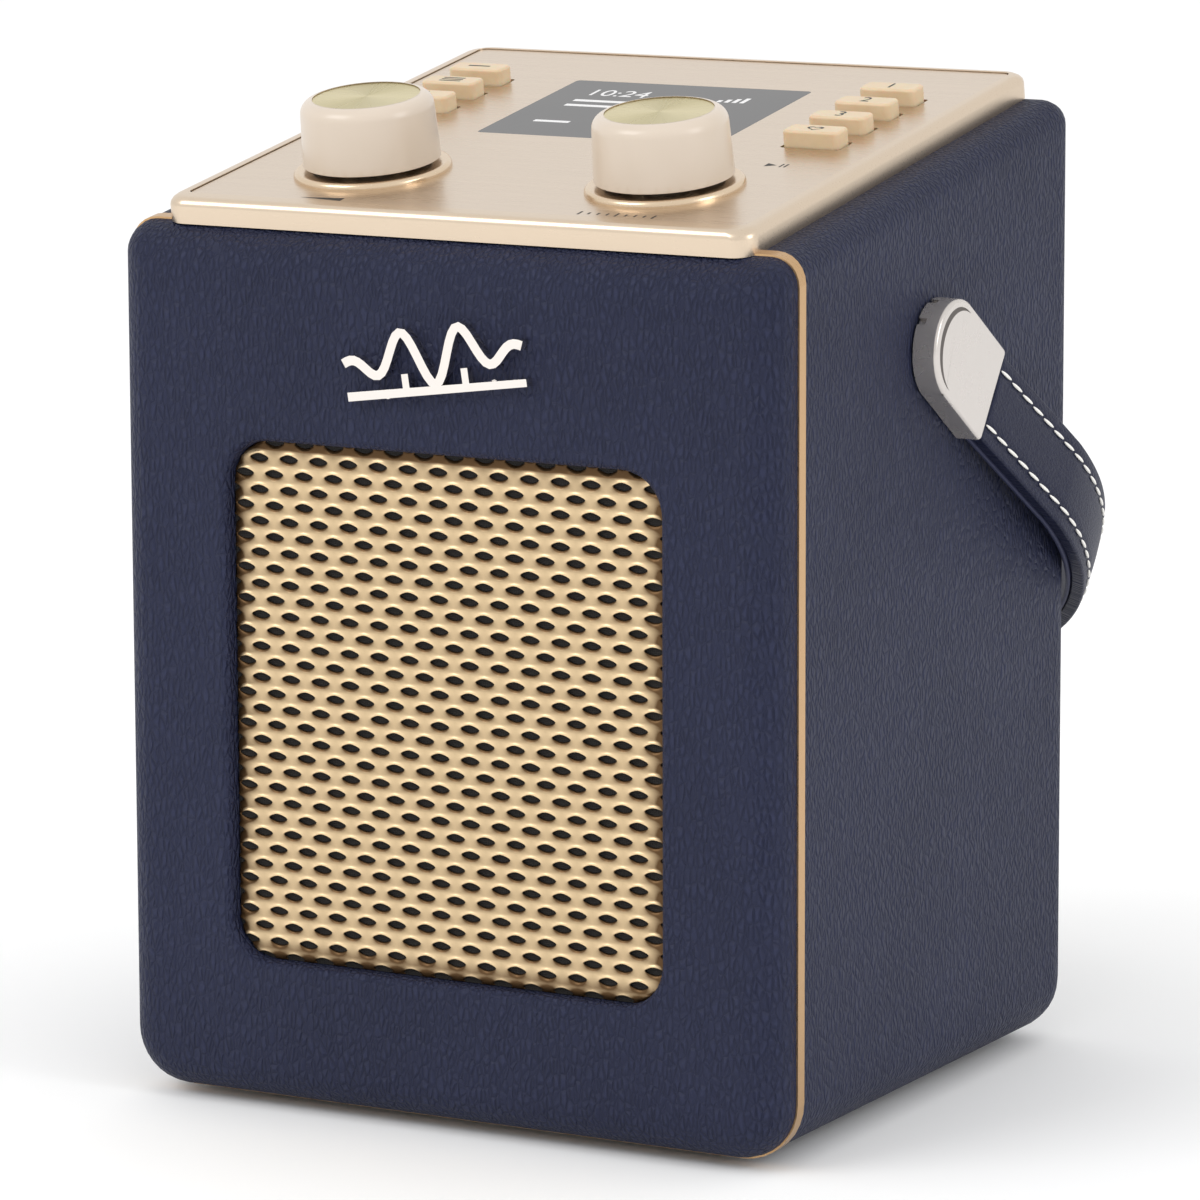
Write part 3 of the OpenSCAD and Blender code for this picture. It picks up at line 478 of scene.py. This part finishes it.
# Knobs: cream lacquered caps on the two encoder shafts. A spun brass disc fills each cap's top, and a
# turned champagne collar stands under it on the plate.
spun_edge = Finish("turned_collar", tone(218, 196, 168), 0.24, 1.0)
spun_edge.wander(3000, 0.18, 0.14)
lacquer = Finish("cream_lacquer", tone(208, 194, 178), 0.32, Coat_Weight=0.3, Coat_Roughness=0.18)
lacquer_haze = lacquer.noise(lacquer.place(), 90)
lacquer_peel = lacquer.noise(lacquer.place(), 900)
lacquer.vary(Base_Color=lacquer.blend(lacquer_haze, tone(203, 188, 170), tone(212, 198, 183)))
lacquer.bump(lacquer_peel, 0.00001, 0.4)


def spun_brass(name, centre):
    """Brass turned from the middle out; its fine rings are a bump, and the bright bow-tie and streaks across
    it are painted highlight in its colour.
    """
    brass = Finish(name, tone(208, 202, 146), 0.28, 1.0, Anisotropic=0.6)
    flat = brass.place(turn=(-top_tilt, 0, 0))
    hub = Matrix.Rotation(-top_tilt, 4, "X") @ centre
    arm = brass.node("VectorMath", {"operation": "SUBTRACT"}, {0: flat, 1: (hub.x, hub.y, hub.z)})
    parts = [brass.node("SeparateXYZ", {}, {0: arm}, axis) for axis in ("X", "Y")]
    radius = (parts[0] * parts[0] + parts[1] * parts[1]).math("SQRT")
    angle = parts[1].math("ARCTAN2", parts[0])
    rays_and_painted_sheen = brass.node("TexNoise", {"noise_dimensions": "1D"}, {"W": angle, "Scale": 9, "Detail": 4})
    # Painted highlight: a bow-tie of light by angle and streaks along the angle lighten the colour; the
    # streaks also vary the roughness.
    painted_bow_tie_sheen = (angle * 2 + 1.1).math("SINE") * 0.5 + 0.5
    rings = (radius * 26000).math("SINE")
    brass.vary(
        Base_Color=brass.blend(painted_bow_tie_sheen * 0.55 + rays_and_painted_sheen * 0.45, tone(180, 166, 106), tone(226, 214, 174)),
        Roughness=rays_and_painted_sheen * 0.2 + 0.2,
    )
    brass.bump(rings, 0.000012, 0.35)
    return brass


for side in ("volume", "tuning"):
    collar = skin(f"{side}_turned_collar", f"{side}_collar")
    smooth(collar)
    fit(collar, spun_edge, "cabinet", "champagne", f"{side}_collar")
    knob = skin(f"{side}_cap", f"{side}_knob")
    ease(knob, 0.0002)
    smooth(knob)
    fit(knob, lacquer, f"{side}_control", "ivory", f"{side}_knob")
    disc_low, disc_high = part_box(f"{side}_disc")
    dress(spun_brass(f"{side}_spun_brass", (disc_low + disc_high) / 2), f"{side}_disc")

# Buttons: seven ivory keys pressed up through the plate. Each is one moulding with a rounded top, a stem
# and a flange that stops it from coming out, and its sign is printed on the top.
ivory = Finish("ivory_key", tone(212, 190, 156), 0.36, Subsurface_Weight=0.25, Subsurface_Scale=0.002)
ivory_mottle = ivory.noise(ivory.place(), 400)
ivory.vary(
    Base_Color=ivory.blend(ivory_mottle, tone(206, 182, 147), tone(218, 198, 166)),
    Roughness=ivory_mottle * 0.12 + 0.3,
)
ivory.bump(ivory_mottle, 0.00001, 0.3)
ink = Finish("black_ink", tone(34, 32, 30), 0.6)
ink_wear = ink.noise(ink.place(), 3000)
ink.vary(Base_Color=ink.blend(ink_wear, tone(26, 25, 24), tone(48, 45, 42)))
ink_t = 0.00003
key_w, key_l, key_up = 0.010, 0.0044, 0.0066
key_low, flange_low, flange_high = -0.0018, 0.0013, 0.0021
key_corner, key_crown, flange_out = 0.0011, 0.0005, 0.0007
slope_len, key_x, key_back, key_pitch = 0.10799, 0.03805, 0.02615, 0.0091
heart_w, heart_h = 0.00009, 0.00007


def ends(piece, edge):
    """The two points that an edge joins."""
    return [piece.data.vertices[v].co for v in edge.vertices]


def key(name):
    """One key, upright on the bench, its foot at its real height under the plate."""
    piece = add("cube", name, size=1, location=(0, 0, (key_low + key_up) / 2),
                scale=(key_w, key_l, key_up - key_low))
    for height in (flange_low, flange_high):
        pick(piece, "polygons", lambda face: True)
        bpy.ops.mesh.bisect(plane_co=(0, 0, height), plane_no=(0, 0, 1))
        close()
    pick(piece, "edges", lambda edge: len({round(end.z, 6) for end in ends(piece, edge)}) == 2)
    bpy.ops.mesh.bevel(offset=key_corner, segments=5, affect="EDGES")
    close()
    pick(piece, "polygons",
         lambda face: abs(face.normal.z) < 0.5 and flange_low < face.center.z < flange_high)
    bpy.ops.mesh.extrude_region_shrink_fatten(TRANSFORM_OT_shrink_fatten={"value": flange_out})
    close()
    pick(piece, "edges", lambda edge: all(end.z > key_up - 1e-5 for end in ends(piece, edge)))
    bpy.ops.mesh.bevel(offset=key_crown, segments=4, affect="EDGES")
    close()
    smooth(piece, 40)
    return piece


def heart():
    """A heart's outline, drawn as a ring of ink."""
    piece = add("circle", "heart_sign", vertices=40, radius=1, fill_type="NOTHING")
    for vertex in piece.data.vertices:
        t = math.atan2(vertex.co.x, vertex.co.y)
        lobes = 13 * math.cos(t) - 5 * math.cos(2 * t) - 2 * math.cos(3 * t) - math.cos(4 * t)
        vertex.co.x = 16 * math.sin(t) ** 3 * heart_w
        vertex.co.y = lobes * heart_h
    pick(piece, "edges", lambda edge: True)
    bpy.ops.mesh.extrude_edges_move()
    bpy.ops.transform.resize(value=(0.7, 0.68, 1))
    close()
    modify(piece, "SOLIDIFY", thickness=ink_t, offset=0)
    return piece


def stack(name, widths, depth=0.0005, pitch=0.001):
    """Plain bars one above another."""
    bars = [bar(f"{name}_{i}", width, depth) for i, width in enumerate(widths)]
    for i, piece in enumerate(bars):
        piece.location.y = (len(bars) / 2 - 0.5 - i) * pitch
    only(bars[0])
    for piece in bars[1:]:
        piece.select_set(True)
    bpy.ops.object.join()
    joined = bpy.context.object
    bpy.ops.object.transform_apply(location=True, rotation=False, scale=False)
    return joined


keys = (("preset_one", 1, 0), ("preset_two", 1, 1), ("preset_three", 1, 2), ("favourite", 1, 3),
        ("mode", -1, 0), ("menu", -1, 1), ("info", -1, 2))
signs = {
    "preset_one": lambda: figures("one_sign", "1", 0.0036),
    "preset_two": lambda: figures("two_sign", "2", 0.0036),
    "preset_three": lambda: figures("three_sign", "3", 0.0036),
    "favourite": heart,
    "mode": lambda: stack("mode_sign", (0.004,), 0.0005),
    "menu": lambda: stack("menu_sign", (0.004, 0.004, 0.004), 0.0004, 0.0009),
    "info": lambda: stack("info_sign", (0.0007, 0.0007), 0.0008, 0.0014),
}
for name, side, row in keys:
    spot = Vector((side * key_x, slope_len - key_back - row * key_pitch, 0))
    piece = key(f"{name}_key")
    settle(piece, top @ Matrix.Translation(spot))
    fit(piece, ivory, name, "ivory", f"{name}_button")
    lay_on_top(signs[name](), spot + Vector((0, 0, key_up)), ink, "black", name)

# Printing on the plate: a rising wedge by the volume knob, a row of tuning strokes by the other, and the
# play and pause signs beside the keys.
plate_top = 0.0039


def wedge(name, width, depth):
    """A flat triangle, its point on the left."""
    piece = add("circle", name, vertices=3, radius=1, fill_type="NGON")
    for vertex, (x, y) in zip(piece.data.vertices, ((-0.5, 0), (0.5, -0.5), (0.5, 0.5))):
        vertex.co = (x * width, y * depth, 0)
    modify(piece, "SOLIDIFY", thickness=ink_t, offset=0)
    return piece


lay_on_top(wedge("volume_wedge", 0.0075, 0.0016), Vector((-0.0257, 0.0093, plate_top)), ink, "black")
for index in range(9):
    stroke = bar(f"tuning_stroke_{index}", 0.00035, 0.0017 if index % 4 == 0 else 0.001)
    lay_on_top(stroke, Vector((0.0200 + 0.0016 * index, 0.0099, plate_top)), ink, "black")
play = wedge("play_sign", -0.0018, 0.0018)
lay_on_top(play, Vector((0.0366, 0.0418, plate_top)), ink, "black")
for index, x in enumerate((0.0384, 0.0392)):
    lay_on_top(bar(f"pause_stroke_{index}", 0.0003, 0.0018), Vector((x, 0.0418, plate_top)), ink, "black")

# Handle: a padded leather strap bent in an arch, a softer lining under it, two rows of white lock stitch,
# and a chrome arm at each end that turns on a stud in the cabinet's side.
pivot = Vector((0, -0.0009, 0.1218))
handle_lean = math.radians(34.5)
handle = Matrix.Translation(pivot) @ Matrix.Rotation(-handle_lean, 4, "X")
arm_start, arch_from, arch_half, arch_reach, leg_x = 0.0157, 0.0461, 0.0654, 0.066, 0.0633
strap_w, strap_t, lining_t = 0.0152, 0.0025, 0.0008
strap_trim, lining_trim, skin_in = 0.0004, 0.0003, 0.0002
crown_up, edge_roll = 0.0005, 0.00105
stitch_row, stitch_step, thread_r, stitch_half = 0.0048, 0.0041, 0.00027, 0.00188
stitch_pull, pull_w = 0.00035, 0.0007

hide = Finish("strap_leather", tone(28, 32, 54), 0.5, Specular_IOR_Level=0.16)
strap_uv = hide.node("UVMap", {"uv_map": "along"}, {})
strap_grain = hide.node("VectorMath", {"operation": "MULTIPLY"}, {0: strap_uv, 1: (1500, 2600, 1)})
strap_pebbles = hide.node(
    "TexVoronoi", {"feature": "SMOOTH_F1"}, {"Vector": strap_grain, "Scale": 1, "Smoothness": 0.6},
)
strap_fine = hide.noise(strap_grain, 1.6, 3)
hide.vary(
    Base_Color=hide.blend(strap_fine * 0.6 + strap_pebbles * 0.3, tone(18, 21, 40), tone(38, 42, 66)),
    Roughness=strap_fine * 0.2 + 0.36,
)
hide.bump(strap_pebbles * 0.6 + strap_fine * 0.7, 0.0003, 0.8)
lining_hide = Finish("strap_lining", tone(46, 49, 70), 0.55, Specular_IOR_Level=0.2)
lining_nap = lining_hide.noise(lining_hide.place(), 2200, 3)
lining_hide.vary(Base_Color=lining_hide.blend(lining_nap, tone(40, 43, 66), tone(58, 61, 86)))
lining_hide.bump(lining_nap, 0.00012, 0.5)
thread = Finish("white_thread", tone(240, 238, 232), 0.7)
twist = thread.noise(thread.place(), 5000)
thread.vary(Base_Color=thread.blend(twist, tone(226, 223, 216), tone(250, 249, 245)))
thread.bump(twist, 0.00005, 0.5)


def strap_path():
    """The line that the strap's outer face follows, from the left arm over the arch to the right arm."""
    points = [(-leg_x, arm_start, 0)]
    for step in range(0, 181, 2):
        turn = math.radians(180 - step)
        points.append((arch_half * math.cos(turn), arch_from + arch_reach * math.sin(turn), 0))
    points.append((leg_x, arm_start, 0))
    data = bpy.data.curves.new("strap_path", "CURVE")
    data.dimensions = "2D"
    spline = data.splines.new("POLY")
    spline.points.add(len(points) - 1)
    for point, place in zip(spline.points, points):
        point.co = (*place, 1)
    path = bpy.data.objects.new("strap_path", data)
    bpy.context.scene.collection.objects.link(path)
    length = sum((Vector(a) - Vector(b)).length for a, b in zip(points, points[1:]))
    return path, length


def sheet_of(name, length, width, rows):
    """A flat sheet that runs along x from 0, cut into many short steps, with its own map along the length."""
    piece = add("grid", name, x_subdivisions=240, y_subdivisions=rows, size=1, calc_uvs=True)
    for vertex in piece.data.vertices:
        vertex.co = ((vertex.co.x + 0.5) * length, 0, vertex.co.y * width)
    layer = piece.data.uv_layers[0]
    layer.name = "along"
    for loop in piece.data.loops:
        place = piece.data.vertices[loop.vertex_index].co
        layer.data[loop.index].uv = (place.x, place.z)
    return piece


def bend(piece, path):
    """Wraps a flat piece round the handle's arch and puts it in its place."""
    modify(piece, "CURVE", object=path, deform_axis="POS_X")
    settle(piece, handle)


def face_out(piece):
    """Turns every face of a closed piece outwards."""
    pick(piece, "polygons", lambda face: True)
    bpy.ops.mesh.normals_make_consistent(inside=False)
    close()


path, strap_len = strap_path()
strap = sheet_of("padded_strap", strap_len, strap_w - strap_trim, 32)
for vertex in strap.data.vertices:
    across = abs(vertex.co.z)
    crown = crown_up * (1 - (across / (strap_w / 2)) ** 2)
    pull = stitch_pull * math.exp(-((across - stitch_row) / pull_w) ** 2)
    vertex.co.y = crown - pull - skin_in
inward = -1 if strap.data.polygons[0].normal.y > 0 else 1
modify(strap, "SOLIDIFY", thickness=strap_t - skin_in, offset=inward)
ease(strap, edge_roll, 4)
bend(strap, path)
face_out(strap)
smooth(strap, 50)
fit(strap, hide, "handle", "strap_leather", "strap")

lining = sheet_of("strap_lining_leather", strap_len, strap_w - lining_trim, 8)
for vertex in lining.data.vertices:
    vertex.co.y = -strap_t - lining_t / 2
modify(lining, "SOLIDIFY", thickness=lining_t, offset=0)
ease(lining, 0.0003, 3)
bend(lining, path)
face_out(lining)
smooth(lining, 50)
fit(lining, lining_hide, "handle", "lining_leather", "strap_lining")

stitch_count = round(strap_len / stitch_step)
stitch_pitch = strap_len / stitch_count
for name, row in (("upper_stitches", stitch_row), ("lower_stitches", -stitch_row)):
    stitches = add("uv_sphere", name, segments=8, ring_count=6, radius=1,
                   location=(stitch_pitch / 2, 0.0001, row), rotation=(0, math.radians(94), 0),
                   scale=(thread_r, thread_r, stitch_half))
    repeat(stitches, stitch_count, (stitch_pitch, 0, 0))
    bend(stitches, path)
    only(stitches)
    bpy.ops.object.shade_smooth()
    fit(stitches, thread, "handle", "strap_leather")
bpy.data.objects.remove(path)

# Arms: flat zinc castings, plated bright. Each has one round end, a raised rim, and a crescent groove
# just inside the rim round its pivot.
plating = Finish("arm_plating", tone(206, 200, 195), 0.26, 0.75)
cast_wave = plating.noise(plating.place(), 260)
groove_r, groove_shift, groove_deep = 0.0068, 0.0012, 0.0003
arm_w, arm_face, arm_round, rim_round = 0.01616, 0.0634, 0.0009, 0.0006
turned = plating.place(turn=(handle_lean, 0, 0))
hub = Matrix.Rotation(handle_lean, 4, "X") @ pivot
spot = plating.node("VectorMath", {"operation": "SUBTRACT"}, {0: turned, 1: (0, hub.y, hub.z)})
along, up = (plating.node("SeparateXYZ", {}, {0: spot}, axis) for axis in ("Y", "Z"))
outer_ring = (along * along + up * up).math("SQRT")
shifted = along - groove_shift
inner_ring = (shifted * shifted + up * up).math("SQRT")
crescent = (outer_ring < groove_r) * (inner_ring > groove_r)
# Painted shade: the plating is darkened inside the crescent groove, which is only a bump, where shade falls
# in it.
plating.vary(
    Base_Color=plating.blend(crescent, tone(206, 200, 195), tone(92, 86, 82)),
    Roughness=cast_wave * 0.12 + crescent * 0.2 + 0.2,
)
plating.bump(crescent * -1 + cast_wave * 0.02, groove_deep, 0.8)
for side in ("left", "right"):
    arm = skin(f"{side}_chrome_arm", f"arm_{side}")
    cutter = add("cube", "arm_cutter", size=1, scale=(0.2, 2 * arm_start - 4e-5, arm_w))
    pick(cutter, "edges", lambda edge: all(end.y > 0 for end in ends(cutter, edge))
         and len({end.x for end in ends(cutter, edge)}) == 2)
    bpy.ops.mesh.bevel(offset=arm_round, segments=5, affect="EDGES")
    close()
    settle(cutter, handle)
    modify(arm, "BOOLEAN", operation="INTERSECT", object=cutter)
    bpy.data.objects.remove(cutter)
    pick(arm, "polygons", lambda face: abs(face.normal.x) > 0.9 and abs(face.center.x) > arm_face)
    bpy.ops.mesh.dissolve_faces()
    bpy.ops.mesh.region_to_loop()
    bpy.ops.mesh.bevel(offset=rim_round, segments=4, affect="EDGES")
    close()
    smooth(arm)
    fit(arm, plating, "handle", "chrome", f"arm_{side}")
steel = Finish("plain_steel", tone(176, 176, 178), 0.32, 1.0)
steel.wander(1500, 0.24, 0.2)
bush_brass = Finish("bush_brass", tone(206, 176, 116), 0.34, 1.0)
bush_brass.wander(1200, 0.26, 0.2)
dress(steel, "pivot_nuts")
dress(bush_brass, "pivot_bushes")

# Back: a flush panel of textured black plastic held by four screws. The battery door hinges along its
# lower edge, and the sockets' noses come through holes beside it.
moulded = Finish("moulded_black", tone(40, 41, 47), 0.55)
moulded_grain = moulded.node("TexVoronoi", {"feature": "F1"}, {"Vector": moulded.place(), "Scale": 1400})
moulded_cloud = moulded.noise(moulded.place(), 60)
moulded.vary(
    Base_Color=moulded.blend(moulded_cloud, tone(34, 35, 40), tone(48, 49, 55)),
    Roughness=moulded_cloud * 0.12 + 0.48,
)
moulded.bump(moulded_grain, 0.00008, 0.6)
for name, node, body in (("back_panel", "rear_panel", "cabinet"), ("battery_lid", "battery_door", "door")):
    panel = skin(name, node)
    ease(panel, 0.00025)
    smooth(panel)
    fit(panel, moulded, body, "rear", node)
dress(moulded, "battery_tray", "dc_socket", "headphone_socket")
dress(steel, "rear_screws", "speaker_screws", "board_screws")
nickel = Finish("nickel_contact", tone(190, 186, 176), 0.3, 1.0)
nickel.wander(800, 0.2, 0.25)
dress(nickel, "battery_contacts")
wrapper = Finish("cell_wrapper", tone(60, 96, 78), 0.35)
cell_band = wrapper.node("SeparateXYZ", {}, {0: wrapper.place()}, "X")
wrapper_tint = wrapper.noise(wrapper.place(), 300)
wrapper_mark = wrapper_tint * 0.3 + (cell_band > 0.01) * 0.7
wrapper.vary(Base_Color=wrapper.blend(wrapper_mark, tone(38, 40, 42), tone(70, 112, 90)))
dress(wrapper, "batteries")

# Aerial: four bright tubes that slide in each other, on an elbow that tilts and swivels.
tube_shine = Finish("aerial_chrome", tone(214, 213, 212), 0.12, 1.0)
tube_shine.wander(4000, 0.08, 0.12, scale=(0.1, 1, 1))
dress(tube_shine, "aerial_tube_one", "aerial_tube_two", "aerial_tube_three", "aerial_rod", "aerial_elbow",
      "aerial_base")

# Inside: the boards with their keys and encoders behind the plate, and the speaker behind the grille.
circuit = Finish("circuit_board", tone(34, 84, 54), 0.4)
tracks = circuit.node("TexBrick", {}, {"Vector": circuit.place(), "Scale": 220, "Mortar Size": 0.01}, 1)
board_mottle = circuit.noise(circuit.place(), 500)
circuit.vary(Base_Color=circuit.blend(tracks * 0.5 + board_mottle * 0.3, tone(28, 74, 46), tone(70, 120, 76)))
dress(circuit, "main_board", "control_board")
part_black = Finish("black_part", tone(36, 36, 38), 0.45)
part_grain = part_black.wander(1500, 0.36, 0.2)
part_black.bump(part_grain, 0.00002)
dress(part_black, "display_module", "key_switches", "volume_plunger", "tuning_plunger")
dress(steel, "volume_encoder", "tuning_encoder", "volume_shaft", "tuning_shaft", "tuner_module")
basket = Finish("speaker_basket", tone(70, 72, 76), 0.5, 0.6)
basket.wander(900, 0.4, 0.2)
dress(basket, "speaker_frame")
ferrite = Finish("ferrite", tone(52, 52, 54), 0.7)
ferrite_grain = ferrite.noise(ferrite.place(), 2200)
ferrite.vary(Base_Color=ferrite.blend(ferrite_grain, tone(44, 44, 46), tone(64, 63, 64)))
dress(ferrite, "speaker_magnet")
paper = Finish("cone_paper", tone(40, 39, 38), 0.85)
paper_fibres = paper.noise(paper.place(), 1600, 4)
paper.vary(Base_Color=paper.blend(paper_fibres, tone(30, 30, 30), tone(52, 50, 48)))
paper.bump(paper_fibres, 0.00008)
dress(paper, "speaker_cone")
copper = Finish("copper_coil", tone(190, 118, 76), 0.35, 1.0)
windings = copper.node("TexWave", {"bands_direction": "Y"}, {"Vector": copper.place(), "Scale": 1600})
copper.vary(Roughness=windings * 0.2 + 0.25)
copper.bump(windings, 0.00005)
dress(copper, "voice_coil")
